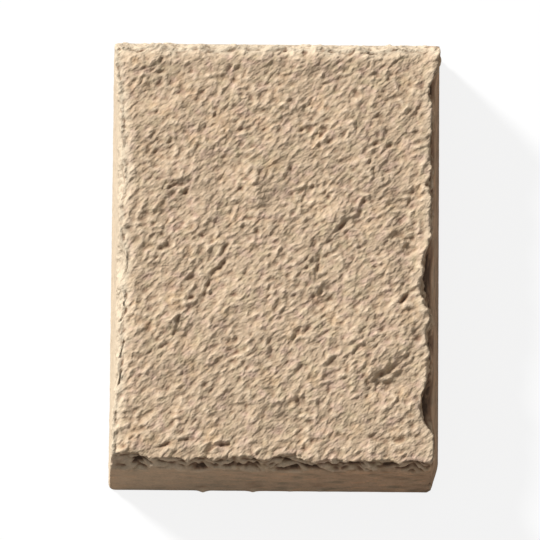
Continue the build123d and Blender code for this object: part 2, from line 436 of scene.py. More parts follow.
BROAD_DENTS = (
    (143, 97, 25, 14, 20, -0.45), (231, 64, 12, 9, 90, -0.3), (285, 69, 12, 10, 0, -0.3),
    (355, 60, 12, 12, 0, -0.2), (392, 145, 34, 12, -65, -1.2), (295, 184, 24, 13, 20, -0.6),
    (312, 230, 20, 8, 90, -0.4), (222, 166, 14, 12, -50, -0.65), (170, 212, 24, 11, 0, -0.55),
    (405, 205, 14, 14, 0, -0.5), (407, 240, 16, 16, 0, -1.0), (225, 215, 12, 10, 0, -0.3),
    (148, 288, 16, 13, 0, -0.5), (205, 296, 16, 11, 0, -0.45), (192, 340, 12, 10, 90, -0.3),
    (302, 285, 16, 12, -60, -0.55), (322, 302, 14, 9, -30, -0.4), (231, 412, 26, 14, 90, -0.85),
    (292, 418, 22, 14, 20, -0.6), (180, 385, 14, 14, 0, -0.3), (175, 424, 30, 12, 0, -0.35),
    (400, 386, 26, 9, 8, -0.55), (333, 384, 10, 9, 0, -0.3), (385, 440, 12, 10, 0, -0.35),
    (140, 405, 16, 14, 0, -0.3),
)
LESSER_SWELLS = (
    (148, 58, 12, 5, -35, 0.35), (132, 67, 7, 5, 0, 0.35), (171, 57, 6, 5, 0, 0.3),
    (205, 57, 7, 4, -30, 0.35), (263, 57, 10, 5, 10, 0.8), (297, 60, 12, 5, -55, 0.4),
    (318, 57, 6, 5, 0, 0.5), (335, 60, 9, 5, 50, 0.5), (369, 57, 8, 7, 0, 0.9), (392, 58, 7, 5, 0, 0.3),
    (419, 71, 6, 6, 0, 0.4), (166, 84, 8, 4, 80, 0.3), (195, 84, 8, 6, 40, 0.55),
    (218, 83, 5, 5, 0, 0.3), (235, 99, 11, 6, 35, 0.7), (269, 92, 9, 5, 35, 0.35),
    (289, 86, 9, 4, 15, 0.3), (316, 95, 8, 6, 90, 0.25), (345, 85, 13, 4, 42, 0.25),
    (361, 100, 9, 5, 45, 0.45), (416, 97, 8, 7, 0, 0.6), (134, 109, 8, 6, 0, 0.5),
    (174, 108, 9, 4, 85, 0.4), (200, 108, 12, 5, 70, 0.4), (243, 122, 7, 6, 0, 0.4),
    (264, 121, 5, 5, 0, 0.25), (285, 105, 12, 5, 75, 0.3), (172, 133, 8, 5, 60, 0.5),
    (213, 135, 9, 5, 65, 0.4), (235, 141, 12, 4, 10, 0.3), (327, 123, 6, 5, 0, 0.45),
    (321, 141, 8, 5, 30, 0.6), (353, 126, 7, 5, 90, 0.45), (353, 146, 7, 6, 0, 0.4),
    (394, 132, 7, 5, 40, 0.5), (419, 148, 11, 5, 0, 0.4), (270, 143, 9, 6, 35, 0.25),
    (134, 172, 9, 7, -30, 0.5), (180, 176, 8, 4, 20, 0.3), (206, 178, 12, 6, 50, 0.4),
    (260, 167, 8, 5, 40, 0.4), (245, 172, 8, 4, 0, 0.3), (256, 192, 8, 8, 0, 0.5),
    (327, 182, 7, 6, 0, 0.4), (348, 177, 6, 5, 90, 0.3), (371, 180, 9, 9, 0, 0.7),
    (310, 195, 6, 5, 60, 0.35), (164, 191, 8, 5, 90, 0.3), (137, 199, 8, 6, 0, 0.25),
    (422, 186, 8, 4, 0, 0.3), (340, 213, 14, 6, 90, 0.5), (334, 233, 10, 5, 60, 0.9),
    (382, 212, 9, 7, 50, 0.6), (369, 217, 9, 4, 20, 0.35), (408, 211, 9, 5, -30, 0.35),
    (305, 226, 7, 4, 0, 0.35), (370, 235, 6, 5, 0, 0.4), (192, 237, 7, 5, -30, 0.3),
    (199, 212, 14, 5, 55, 0.3), (227, 203, 6, 6, 0, 0.25), (134, 254, 8, 5, 0, 0.3),
    (219, 256, 9, 5, 90, 0.35), (210, 271, 8, 5, 75, 0.5), (186, 271, 10, 5, 10, 0.4),
    (157, 284, 10, 5, 50, 0.35), (198, 293, 6, 4, 45, 0.35), (177, 298, 7, 5, 70, 0.35),
    (134, 306, 9, 6, -40, 0.55), (176, 319, 8, 8, 0, 0.75), (145, 330, 6, 5, 0, 0.3),
    (196, 330, 6, 4, 90, 0.25), (242, 288, 8, 6, 50, 0.3), (227, 285, 6, 5, 0, 0.25),
    (220, 305, 12, 4, 40, 0.3), (262, 298, 6, 6, 0, 0.35), (266, 323, 8, 7, 0, 0.65),
    (287, 303, 11, 6, 0, 0.4), (287, 253, 9, 5, 90, 0.5), (284, 268, 8, 5, 90, 0.3),
    (319, 257, 7, 5, -40, 0.5), (317, 285, 11, 5, 35, 0.6), (329, 269, 10, 4, 75, 0.25),
    (340, 302, 7, 6, 90, 0.35), (384, 272, 9, 5, 55, 0.45), (350, 330, 11, 7, 90, 0.5),
    (366, 319, 8, 5, 20, 0.3), (395, 309, 7, 6, 0, 0.4), (417, 312, 12, 5, 90, 0.7),
    (418, 321, 5, 5, 0, 0.5), (405, 290, 7, 5, 0, 0.25), (238, 345, 5, 5, 0, 0.25),
    (250, 346, 6, 4, 45, 0.25), (213, 335, 12, 4, 75, 0.3), (240, 318, 13, 4, 20, 0.3),
    (176, 368, 10, 5, 90, 0.35), (145, 350, 10, 4, 10, 0.3), (139, 371, 15, 5, -12, 0.6),
    (248, 368, 7, 6, 0, 0.5), (266, 367, 8, 4, 15, 0.35), (232, 377, 6, 6, 0, 0.25),
    (324, 360, 12, 5, 60, 0.3), (310, 389, 8, 6, 90, 0.4), (345, 376, 6, 6, 0, 0.35),
    (368, 371, 9, 4, 40, 0.45), (384, 361, 13, 5, 28, 0.4), (406, 352, 8, 5, 90, 0.45),
    (402, 334, 8, 4, 90, 0.3), (162, 397, 8, 5, 0, 0.5), (131, 402, 8, 5, 0, 0.35),
    (193, 393, 10, 5, 65, 0.3), (196, 413, 9, 5, 90, 0.4), (217, 405, 7, 6, 0, 0.65),
    (247, 394, 10, 4, 0, 0.25), (266, 400, 7, 5, 0, 0.35), (287, 405, 6, 6, 0, 0.4),
    (147, 420, 8, 6, 0, 0.45), (175, 413, 6, 5, 90, 0.25), (254, 418, 11, 6, -70, 0.65),
    (231, 418, 7, 5, 90, 0.25), (280, 425, 10, 5, -20, 0.35), (312, 414, 9, 4, 0, 0.35),
    (338, 405, 9, 5, 75, 0.4), (356, 413, 7, 6, 90, 0.35), (399, 407, 11, 5, 60, 0.45),
    (388, 424, 7, 6, 0, 0.3), (173, 439, 12, 5, 0, 0.55), (412, 431, 10, 4, 0, 0.25),
)
LESSER_DENTS = (
    (180, 85, 9, 6, 75, -1.1), (156, 79, 6, 5, 0, -0.3), (133, 95, 5, 5, 0, -0.4),
    (160, 105, 6, 4, 0, -0.3), (188, 106, 7, 4, 80, -0.35), (185, 125, 12, 4, 90, -0.3),
    (262, 78, 9, 5, 80, -0.4), (288, 69, 9, 6, -65, -0.7), (321, 73, 5, 5, 0, -0.35),
    (341, 75, 8, 5, 45, -0.4), (378, 72, 5, 5, 0, -0.35), (408, 69, 5, 4, 90, -0.35),
    (227, 92, 9, 4, 55, -0.4), (244, 84, 6, 4, 0, -0.3), (361, 84, 7, 4, 30, -0.35),
    (347, 95, 8, 4, 40, -0.35), (402, 92, 7, 5, 60, -0.5), (217, 112, 7, 4, 0, -0.3),
    (258, 112, 6, 4, 45, -0.35), (295, 114, 5, 5, 0, -0.35), (328, 108, 9, 4, 0, -0.3),
    (370, 112, 7, 4, 60, -0.4), (391, 112, 13, 4, 85, -0.45), (416, 114, 9, 5, 20, -0.4),
    (159, 128, 7, 5, 0, -0.4), (202, 126, 7, 4, 35, -0.4), (227, 131, 5, 5, 0, -0.35),
    (257, 135, 7, 6, -20, -0.55), (310, 130, 8, 6, 20, -0.45), (338, 135, 7, 5, 90, -0.5),
    (369, 132, 5, 4, 0, -0.3), (380, 133, 5, 4, 0, -0.3), (405, 138, 9, 4, 35, -0.4),
    (165, 152, 8, 6, 15, -0.6), (218, 157, 8, 6, 55, -0.65), (243, 157, 12, 5, -5, -0.4),
    (287, 149, 6, 6, 0, -0.35), (320, 155, 9, 4, 20, -0.4), (344, 161, 9, 4, 20, -0.45),
    (417, 169, 7, 5, 90, -0.7), (384, 158, 7, 5, 0, -0.25), (289, 173, 9, 5, 55, -0.4),
    (149, 190, 10, 5, 80, -0.4), (183, 191, 9, 6, 0, -0.7), (236, 183, 7, 5, -20, -0.4),
    (268, 179, 6, 5, 0, -0.4), (271, 197, 7, 6, -50, -0.45), (325, 196, 7, 5, 0, -0.4),
    (392, 195, 8, 7, 0, -0.7), (372, 201, 8, 5, 20, -0.55), (354, 202, 5, 5, 0, -0.35),
    (416, 200, 9, 4, 0, -0.45), (148, 215, 9, 5, 0, -0.35), (175, 222, 7, 7, 0, -0.55),
    (201, 228, 6, 6, 0, -0.45), (228, 218, 7, 5, 0, -0.45), (244, 210, 9, 5, 90, -0.35),
    (321, 228, 9, 5, 75, -1.0), (358, 230, 12, 4, 90, -0.4), (396, 225, 9, 6, 50, -0.4),
    (302, 243, 6, 6, 0, -0.45), (214, 198, 7, 5, 0, -0.3), (154, 260, 7, 6, 0, -0.4),
    (231, 270, 12, 6, 25, -0.65), (195, 281, 9, 4, 35, -0.45), (170, 288, 8, 5, 60, -0.45),
    (143, 290, 11, 4, -60, -0.35), (213, 294, 10, 5, 60, -0.55), (189, 307, 5, 5, 0, -0.3),
    (232, 309, 7, 4, 35, -0.3), (256, 310, 6, 6, 0, -0.55), (284, 285, 6, 5, 0, -0.3),
    (289, 321, 13, 6, 40, -0.45), (304, 296, 6, 6, 0, -0.6), (327, 298, 8, 5, 75, -0.6),
    (339, 279, 6, 4, 75, -0.4), (373, 264, 8, 5, 75, -0.5), (404, 266, 8, 4, 0, -0.35),
    (353, 309, 4, 4, 0, -0.25), (375, 307, 8, 5, 0, -0.35), (405, 317, 6, 4, 90, -0.5),
    (161, 330, 7, 6, 0, -0.55), (183, 334, 6, 6, 0, -0.5), (200, 342, 7, 6, 30, -0.45),
    (227, 338, 11, 5, 90, -0.45), (246, 331, 8, 5, 0, -0.3), (236, 362, 7, 6, 90, -0.6),
    (271, 353, 15, 6, 0, -0.55), (305, 369, 10, 7, 80, -0.5), (334, 371, 10, 4, 70, -0.45),
    (344, 348, 7, 5, 0, -0.3), (379, 326, 8, 6, 0, -0.35), (367, 356, 12, 4, 35, -0.35),
    (418, 339, 10, 7, 90, -1.1), (402, 373, 8, 4, 30, -0.55), (188, 363, 6, 6, 0, -0.35),
    (187, 380, 8, 5, 60, -0.4), (135, 384, 8, 6, 30, -0.4), (132, 353, 7, 6, 90, -0.45),
    (148, 358, 12, 5, 20, -0.3), (164, 385, 6, 4, 0, -0.3), (245, 382, 7, 5, 0, -0.4),
    (268, 384, 7, 6, 90, -0.45), (379, 385, 9, 5, -15, -0.2), (415, 397, 9, 8, 0, -1.1),
    (207, 396, 8, 5, 50, -0.45), (148, 405, 5, 5, 0, -0.3), (133, 415, 7, 7, 0, -0.8),
    (164, 414, 8, 5, 90, -0.35), (241, 407, 6, 6, 0, -0.4), (267, 414, 7, 5, 90, -0.4),
    (302, 404, 8, 5, 0, -0.4), (323, 401, 6, 4, 0, -0.3), (370, 406, 10, 5, 15, -0.5),
    (420, 418, 10, 4, 0, -0.5), (218, 424, 7, 5, -30, -0.45), (179, 427, 6, 6, 0, -0.35),
    (241, 431, 7, 6, -40, -0.4), (268, 437, 10, 5, 0, -0.45), (364, 430, 6, 5, 90, -0.35),
    (157, 442, 7, 6, 90, -0.8), (195, 437, 7, 7, 0, -0.45), (381, 439, 9, 6, 0, -0.9),
    (345, 439, 8, 6, 0, -0.4), (300, 440, 9, 6, 90, -0.4), (308, 427, 6, 5, 90, -0.35),
    (227, 446, 7, 5, 0, -0.4),
)
PITS_AND_KNOBS = (
    (212, 112, 2.2, 1.8, 0, 0.7), (214.5, 115.5, 2.2, 1.6, 50, -0.9), (171, 187, 6, 1.8, 24, -0.8),
    (180, 185, 5, 1.6, -4, -0.9), (183, 189.5, 2.0, 1.8, 0, 0.7), (185.5, 193, 2.0, 1.5, 20, -0.9),
    (209, 291, 2.0, 1.8, 0, 0.6), (210, 294, 2.0, 1.4, 0, -0.7), (125.5, 57, 3.0, 2.0, 0, -0.6),
    (170.5, 82, 2.5, 6.0, 0, -0.7), (400, 86, 2.5, 2.0, 45, -0.6), (334, 128, 3.0, 1.8, 20, -0.6),
    (357, 128, 2.0, 3.0, 0, -0.6), (427, 185, 2.5, 2.5, 0, -0.9), (291, 168, 3.0, 1.8, 45, -0.6),
    (124, 310.5, 2.5, 2.5, 0, -0.8), (125, 373, 3.0, 2.0, 30, -0.8), (293, 362, 2.0, 2.0, 0, -0.7),
    (149, 330, 4.0, 2.5, 20, -0.8), (205.6, 385, 4.0, 2.0, 50, -0.9),
)
LEDGES = (
    (129, 80, 11, 2.0, -18, -0.7), (151, 77, 14, 2.2, 31, -0.7), (188, 73.5, 11, 2.0, 23, -0.6),
    (164, 145, 10, 2.0, 29, -0.5), (259, 182, 10, 2.6, 84, -0.8), (261, 198, 8, 2.4, 100, -0.6),
    (240.5, 146, 7, 2.0, 62, -0.6), (266.5, 128, 5, 2.0, 40, -0.6), (342.5, 51, 4, 1.6, 40, -0.8),
    (350, 55, 6, 1.8, 32, -1.0), (370, 60, 8, 1.8, 88, -0.5), (314, 71, 9, 2.5, 55, -0.5),
    (339, 96.5, 5, 1.5, 32, -0.5), (357, 105.5, 8.5, 1.6, 33, -0.6), (322, 146, 8, 3.0, 30, -0.5),
    (337, 158, 5, 1.6, 42, -0.6), (365, 180, 17, 1.8, 36, -0.8), (136.5, 360.5, 7, 1.8, 50, -0.8),
    (151.5, 351, 11, 1.9, 21, -0.9), (168.5, 342, 8, 1.7, 37, -0.8), (281, 405, 9, 2.0, 12, -0.8),
    (299, 399, 10, 2.0, 25, -0.9), (200.5, 220, 6, 1.8, 60, -0.5),
)
SCARS = (
    (224, 251, 7, 1.8, 65, -0.7), (224, 263, 5, 2.0, 40, -0.7), (217, 270, 9, 2.4, 40, -1.1),
    (209, 283, 7, 2.2, 65, -1.0), (205, 294, 6, 2.0, 70, -0.8), (190.5, 278, 7, 2.2, 37, -0.9),
    (192, 297, 5, 1.8, 12, -0.8), (182, 307, 3, 2.5, 0, -0.7), (179, 321, 7, 3.5, 65, -1.1),
    (175, 332, 5, 3.0, 30, -1.0), (339.5, 228, 13, 1.9, 44, -1.1), (328, 242, 5, 1.8, 40, -0.8),
    (319, 262, 14, 1.8, 78, -0.7), (336, 257.5, 5, 1.6, 43, -0.7), (322, 292, 7, 2.5, 30, -0.8),
    (338, 288, 4, 1.4, 60, 0.5), (406.5, 297, 10, 1.8, 47, -1.2), (406, 311, 10, 3.0, 12, -1.0),
    (294.5, 338, 8, 2.0, 55, -0.7), (408, 356, 8, 2.2, 40, -0.9), (423, 340, 9, 2.5, 45, 0.8),
    (423, 312, 7, 3.0, 20, 0.6), (331, 362, 6, 4.0, 40, -1.0), (325, 377, 4, 3.0, 90, -0.8),
    (328.6, 391.7, 5, 1.8, 70, -0.7), (363, 376, 7, 2.2, 55, -0.9), (372, 382, 8, 2.2, 34, -0.7),
    (381, 375, 4, 1.8, 60, -0.5), (392, 369, 8, 2.2, 38, -0.8), (164, 445, 8, 1.6, 16, -1.0),
    (185, 439.5, 9, 1.8, 6, -1.2), (222, 444.5, 7, 1.9, 7, -1.3), (211, 449, 5, 1.6, 40, -1.0),
)


# %% One mark
def oval(pixels, x, y, half_length, half_width, turn, height):
    """One dent or swell, as the photograph shows it."""
    across, up = pixels[0] - x, y - pixels[1]
    c, s = math.cos(math.radians(turn)), math.sin(math.radians(turn))
    u = (across * c + up * s) / half_length
    v = (up * c - across * s) / half_width
    return height * np.exp(-(u * u + v * v))


# %% [markdown]
# The left and upper arrises are rubbed round, and the right one stands up a little as a rim. Both moves
# fade over a few millimetres, and slow noise makes them come and go along the edge.

# %% Round arrises and a raised rim
ARRIS_ROUND, ROUND_REACH, ROUND_WAVE = 1.3, 2.4, 11.0
RIM_LIFT, RIM_REACH, RIM_WAVE, RIM_UNEVEN = 0.7, 3.5, 14.0, 1.2
from_left, from_top = column * spacing, (ROWS - row) * spacing
from_right = (COLUMNS - column) * spacing
rubbed = 1 + speckle(face_base, ROUND_WAVE, seed=53)
for away in (from_left, from_top):
    face_relief -= ARRIS_ROUND * fade(away, ROUND_REACH) * rubbed
raised = 1 + RIM_UNEVEN * speckle(face_base, RIM_WAVE, seed=51)
face_relief += RIM_LIFT * fade(from_right, RIM_REACH) * raised
print("the right rim stands up by about", round(RIM_LIFT * float(raised[:, -1].mean()), 2), "mm")

# %% Press the marks in
# The depths were guessed from the picture, so each group has a gain, which was set by comparing renders.
GAINS = (
    (BROAD_SWELLS + BROAD_DENTS, 1.5),
    (LESSER_SWELLS + LESSER_DENTS, 1.1),
    (PITS_AND_KNOBS, 1.0),
    (LEDGES, 0.65),
    (SCARS, 1.15),
)
for marks, gain in GAINS:
    for mark in marks:
        face_relief += gain * oval(face_pixels, *mark)
print("marks on the face", sum(len(marks) for marks, gain in GAINS))

# %% [markdown]
# ## The sides
# The mould left the sides smooth, with the sandy feel of concrete and faint streaks. They stay almost
# flat, so their relief is a small share of the face's, and fades toward the back. Under the arris the
# chisel left slots and lips. Flat-topped noise, drawn out along the edge, gives the many small ones, and
# the larger ones that the camera sees are listed one by one, like the marks on the face. A few burrs of
# cement hang from the back's edge, where the mould didn't quite close.

# %% Marks on the lower and right margins
SLOTS = (
    (124, 453, 11, 3.0, -4, -1.5), (140, 460, 7, 2.8, 15, -2.2), (160, 457, 8, 1.4, 25, -0.9),
    (184, 460, 9, 1.8, -8, -0.9), (201, 457, 11, 3.4, 4, -1.6), (201, 469, 9, 1.4, 5, -1.4),
    (222, 460, 7, 1.6, 30, -1.1), (243, 455, 9, 1.8, 12, -1.4), (256, 460, 10, 1.6, -5, -1.2),
    (247, 465, 15, 1.5, 2, -1.7), (285, 453, 9, 2.2, 6, -1.4), (284, 459, 9, 1.4, -12, -1.2),
    (301, 465, 18, 1.8, -13, -2.0), (287, 469.5, 12, 1.5, 0, -1.4), (321, 459, 5, 1.8, 0, -1.3),
    (335, 457, 7, 1.5, 8, -1.1), (354, 464, 10, 1.9, 4, -2.0), (338, 467, 8, 1.2, -6, -0.9),
    (376, 459, 5, 1.8, 30, -1.2), (388, 465, 10, 1.9, 10, -2.0), (412, 461, 17, 2.4, -8, -1.8),
    (404, 468, 8, 1.2, -4, -0.9), (432, 90, 12, 3.6, 90, -1.8), (431, 148, 20, 3.8, 90, -2.0),
    (431, 205, 14, 3.0, 90, -1.1), (429, 275, 30, 4.4, 89, -2.2), (431, 345, 12, 3.6, 90, -1.5),
    (428, 402, 23, 5.0, 88, -2.4), (434, 440, 10, 2.2, 88, -1.4),
)
LIPS = (
    (168, 453, 11, 1.8, 28, 1.1), (160, 464, 11, 1.8, -22, 0.9), (178, 469, 8, 1.4, -15, 0.7),
    (224, 455, 9, 2.4, 6, 1.0), (366, 460, 2.2, 7.0, 0, 1.1), (270, 457, 7, 1.8, 10, 0.8),
    (262, 470, 12, 1.4, 0, 0.6), (310, 458, 8, 1.8, -8, 0.8), (336, 462, 9, 1.6, 5, 0.7),
    (376, 467, 7, 1.4, 20, 0.7), (401, 464, 6, 1.4, 0, 0.6),
)
BURRS = (
    (203, 489.5, 4.0, 1.5, 0, 1.3), (253, 489.5, 4.5, 1.5, 0, 1.2), (290, 489.5, 3.0, 1.5, 0, 0.5),
    (320, 489.5, 3.5, 1.5, 0, 0.5),
)

# %% Relief of the sides
CAST_SHARE, LEFT_SHARE, BREAK_SHARE = 0.12, 0.2, 0.95
BACK_SHARE, BACK_FADE = 0.4, 2.0
cast_share = CAST_SHARE + LEFT_SHARE * np.clip(-side_out[..., 0], 0, 1)
side_height = side_relief * (cast_share + (BREAK_SHARE - cast_share) * side_broken)
side_height *= BACK_SHARE + (1 - BACK_SHARE) * ease(level, 0.0, BACK_FADE)
print("side relief rms", round(float(side_height.std()), 3), "mm")

# %% Chips under the arris
CHIP_SIZE, CHIP_DEPTH, CHIP_TOP = 3.4, 3.2, 0.4
LIT_CHIPS = 0.1
DRAW_OUT = (0.42, 0.42, 1.3)
SLANT = (0.0, 0.0, 0.12)
lain_flat = side_base * DRAW_OUT + side_base[..., :1] * SLANT
chips = np.minimum(CHIP_DEPTH * speckle(lain_flat, CHIP_SIZE, seed=71), CHIP_TOP)
shaded = np.clip(side_out[..., 0] - side_out[..., 1], 0, 1)
side_height += chips * side_broken * (LIT_CHIPS + (1 - LIT_CHIPS) * shaded)
print("the deepest chip is", round(float(-chips.min()), 1), "mm")

# %% Press the slots, lips and burrs in
# The picture's pixels also fall on the sides that it doesn't show, so the marks are kept off those.
SEEN_UP, SEEN_LEFT = 0.3, -0.75
CHIPPED_FROM, CHIPPED_FULL = 26.0, CAST_HEIGHT - 1
side_pixels = in_picture(side_base)
seen_side = (side_out[..., 1] < SEEN_UP) & (side_out[..., 0] > SEEN_LEFT)
under_arris = ease(level, CHIPPED_FROM, CHIPPED_FULL)
side_marks = np.zeros(side_height.shape)
for mark in SLOTS + LIPS:
    side_marks += oval(side_pixels, *mark) * seen_side * under_arris
side_height += side_marks
for mark in BURRS:
    side_height += oval(side_pixels, *mark) * seen_side
print("marks on the sides", len(SLOTS + LIPS + BURRS))

# %% Grow the surface
face_points = face_base + face_way * face_relief[..., None]
side_points = side_base + side_way * side_height[..., None]
side_points[..., 2] = np.maximum(side_points[..., 2], 0.0)
side_points[-1, :, 2] = 0.0
print("the highest point is", round(float(face_points[..., 2].max()), 1), "mm above the back")

# %% [markdown]
# ## The flat back
# Nobody sees the back of a laid stone. It is the open side of the mould, struck off level, so it is made
# flat. Its border is the last ring, and a loose grid of points fills the middle. A Delaunay fill joins
# them, so no quads are wasted where there is little to show.

# %% Fill the back
BACK_STEP = 4.0
BACK_INSET = 3.0
END_ROOM = 0.1
INSIDE_ONLY = 1
SAME_PLACE = 1e-5


def places_along(half_length):
    """Even places along one axis of the back, inside its border."""
    reach = half_length - BACK_INSET
    return np.arange(-reach, reach + END_ROOM, BACK_STEP)


rim = [tuple(place) for place in side_points[-1][:, :2]]
inner = [(x, y) for y in places_along(half_height) for x in places_along(half_width)]
fill = geometry.delaunay_2d_cdt(
    [Vector(place) for place in rim + inner],
    [(i, (i + 1) % around) for i in range(around)],
    [],
    INSIDE_ONLY,
    SAME_PLACE,
)
back_points, back_faces = fill[0], fill[2]
print("back triangles", len(back_faces))

# %% [markdown]
# ## One closed skin
# The grid, the rings and the back share their border points, so the skin is one closed mesh with no
# loose edge.

# %% Join the parts
points = [tuple(place) for row in face_points for place in row]
faces = []
width = COLUMNS + 1
for r in range(ROWS):
    for c in range(COLUMNS):
        corner = r * width + c
        faces.append((corner, corner + 1, corner + width + 1, corner + width))

above = [r * width + c for r, c in border]
for places in side_points:
    below = [len(points) + i for i in range(around)]
    points += [tuple(place) for place in places]
    for i in range(around):
        j = (i + 1) % around
        faces.append((above[i], below[i], below[j], above[j]))
    above = below

back_index = {}
for i, place in enumerate(back_points):
    if i < around:
        back_index[i] = above[i]
    else:
        back_index[i] = len(points)
        points.append((place.x, place.y, 0.0))
for triangle in back_faces:
    faces.append(tuple(back_index[i] for i in reversed(triangle)))

skin_mesh = bpy.data.meshes.new("cast_trim_stone")
skin_mesh.from_pydata([(x * MM, y * MM, z * MM) for x, y, z in points], [], faces)
skin_mesh.polygons.foreach_set("use_smooth", [True] * len(faces))
skin_mesh.update()
skin = bpy.data.objects.new("cast_trim_stone", skin_mesh)
bpy.context.collection.objects.link(skin)
print("skin", len(points), "points", sum(len(face) - 2 for face in faces), "triangles")

# %% [markdown]
# ## What the finish has to know
# Painted shade darkens the hollows and a painted highlight lightens the crests, the broken stone differs
# from the cast skin, and the sides are faintly mottled. These are known from the shape, so they are kept
# on the mesh as named values for each point. The side away from the light is painted darker too, and the
# sides and rims that face it are painted paler, than the lamp alone makes them. Here that is a little damp
# and a bloom of lime, which is a guess.

# %% A blur
def blurred(values, reach, wraps):
    """The mean over a square around each place of a grid."""
    for axis in (0, 1):
        mode = "wrap" if wraps and axis == 1 else "edge"
        pads = [(0, 0), (0, 0)]
        pads[axis] = (reach, reach)
        padded = np.pad(values, pads, mode=mode)
        size = values.shape[axis]
        total = sum(np.take(padded, range(k, k + size), axis=axis) for k in range(2 * reach + 1))
        values = total / (2 * reach + 1)
    return values


# %% Hollows and painted shade
# A hollow is a place that lies below the mean of its neighbours, by this many millimetres. That depth
# sets the painted shade there, and a crest, above the mean, gets a painted highlight.
FACE_BLUR, SIDE_BLUR = 4, 3
SIDE_DEPTH, MARK_DEPTH = 1.3, 0.9
MOTTLE, MOTTLE_SIZE = 0.35, 5.0
# Painted shade: the side that faces away from the lamp is painted a little darker.
AWAY_SIDE_SHADE = 0.12
# Painted shade: the lower side is painted darker toward its right end.
RIGHT_END_SHADE, RIGHT_BAND = 0.22, (0, 74)
face_shade_depth = blurred(face_relief, FACE_BLUR, False) - face_relief
# Painted shadow: the slots pressed in under the arris are painted dark too. The mottling is the stone's own
# tone.
side_shade_and_mottle = SIDE_DEPTH * (blurred(side_height, SIDE_BLUR, True) - side_height) - MARK_DEPTH * side_marks
mottling = MOTTLE * speckle(lain_flat, MOTTLE_SIZE, seed=81)
side_shade_and_mottle += mottling + AWAY_SIDE_SHADE * np.clip(side_out[..., 0], 0, 1)
lower_side = np.clip(-side_out[..., 1], 0, 1)
side_shade_and_mottle += RIGHT_END_SHADE * ease(side_base[..., 0], *RIGHT_BAND) * lower_side
print("the deepest hollow of the face is", round(float(face_shade_depth.max()), 2), "mm")

# %% Painted light
# Painted light: the sides that face the lamp, the lower side toward its left end, and the upper, left and
# right rims of the face are painted paler than the lamp alone makes them.
TOWARD_LIGHT = np.array((-0.77, 0.64, 0.0))
LIT_RIM, LIT_RIM_WAVE, LIT_RIM_UNEVEN = 2.8, 8.0, 0.7
LIT_RIM_PAINT, RIGHT_RIM_PAINT = 0.65, 0.25
LEFT_END_LIGHT, LEFT_BAND = 0.36, (-50, 74)
side_painted_light = np.clip(side_out @ TOWARD_LIGHT, 0, 1)
side_painted_light += LEFT_END_LIGHT * ease(-side_base[..., 0], *LEFT_BAND) * lower_side
rim_reach = LIT_RIM * (1 + LIT_RIM_UNEVEN * speckle(face_base, LIT_RIM_WAVE, seed=61))
face_painted_light = LIT_RIM_PAINT * fade(np.minimum(from_top, from_left), rim_reach)
face_painted_light += RIGHT_RIM_PAINT * fade(from_right, rim_reach)
print("mean bloom of the sides", round(float(side_painted_light.mean()), 2))

# %% Keep the values on the mesh
back_count = len(points) - face_shade_depth.size - side_shade_and_mottle.size
# The hollow value paints shade into hollows and a highlight onto crests, with the sides' mottling mixed in;
# the last value paints light on the sides and rims that face the lamp.
known = (
    ("hollow", face_shade_depth, side_shade_and_mottle),
    ("broken", face_broken, side_broken),
    ("painted_light", face_painted_light, side_painted_light),
)
for name, on_face, on_sides in known:
    values = np.concatenate([on_face.ravel(), on_sides.ravel(), np.zeros(back_count)])
    layer = skin_mesh.attributes.new(name, "FLOAT", "POINT")
    layer.data.foreach_set("value", values.astype(np.float32))
    print(name, "from", round(float(values.min()), 2), "to", round(float(values.max()), 2))

# %% [markdown]
# ## Shader maths as sums
# A finish is a sum of masks and colours. Wiring it by hand hides the sum, so a small class wraps a
# node's output and lets plain arithmetic add the Math nodes.

# %% A wire and a finish
class Wire:
    """The output of a node, which can be used in sums."""

    def __init__(self, finish, socket):
        self.finish = finish
        self.socket = socket

    def sum(self, operation, first, second):
        """Adds a Math node for one operation."""
        settings = {"operation": operation}
        return self.finish.node("ShaderNodeMath", settings, {0: first, 1: second})["Value"]

    def __add__(self, other):
        return self.sum("ADD", self, other)

    def __radd__(self, other):
        return self.sum("ADD", other, self)

    def __sub__(self, other):
        return self.sum("SUBTRACT", self, other)

    def __rsub__(self, other):
        return self.sum("SUBTRACT", other, self)

    def __mul__(self, other):
        return self.sum("MULTIPLY", self, other)

    def __rmul__(self, other):
        return self.sum("MULTIPLY", other, self)


class Finish:
    """A material whose nodes are all made by one method."""

    def __init__(self, name):
        self.material = bpy.data.materials.new(name)
        self.material.use_nodes = True
        self.tree = self.material.node_tree
        self.tree.nodes.clear()

    def node(self, kind, settings=None, sockets=None):
        """Adds a node, sets it up, then fills its sockets, and gives its outputs by name."""
        made = self.tree.nodes.new(kind)
        for name, value in (settings or {}).items():
            setattr(made, name, value)
        for name, value in (sockets or {}).items():
            self.fill(self.find(made.inputs, name), value)
        return {out.name: Wire(self, out) for out in reversed(made.outputs) if out.enabled}

    @staticmethod
    def find(inputs, name):
        """A socket by its number, or by its name where it is in use."""
        if isinstance(name, int):
            return inputs[name]
        return next(entry for entry in inputs if entry.name == name and entry.enabled)

    def fill(self, entry, value):
        """Links a wire to a socket, or sets its value."""
        if isinstance(value, Wire):
            self.tree.links.new(value.socket, entry)
        else:
            entry.default_value = value

    def mix(self, factor, first, second, blend="MIX"):
        """Mixes two colours."""
        settings = {"data_type": "RGBA", "blend_type": blend}
        sockets = {"Factor": factor, "A": first, "B": second}
        return self.node("ShaderNodeMix", settings, sockets)["Result"]

    def ramp(self, value, low, high):
        """Goes from 0 at low to 1 at high."""
        sockets = {"Value": value, "From Min": low, "From Max": high}
        return self.node("ShaderNodeMapRange", {"clamp": True}, sockets)["Result"]

    def tint(self, under, value, over, start, full, cover):
        """Lays a colour over another: none where value is at start, and the cover where it is full."""
        return self.mix(self.ramp(value, start, full) * cover, under, over)
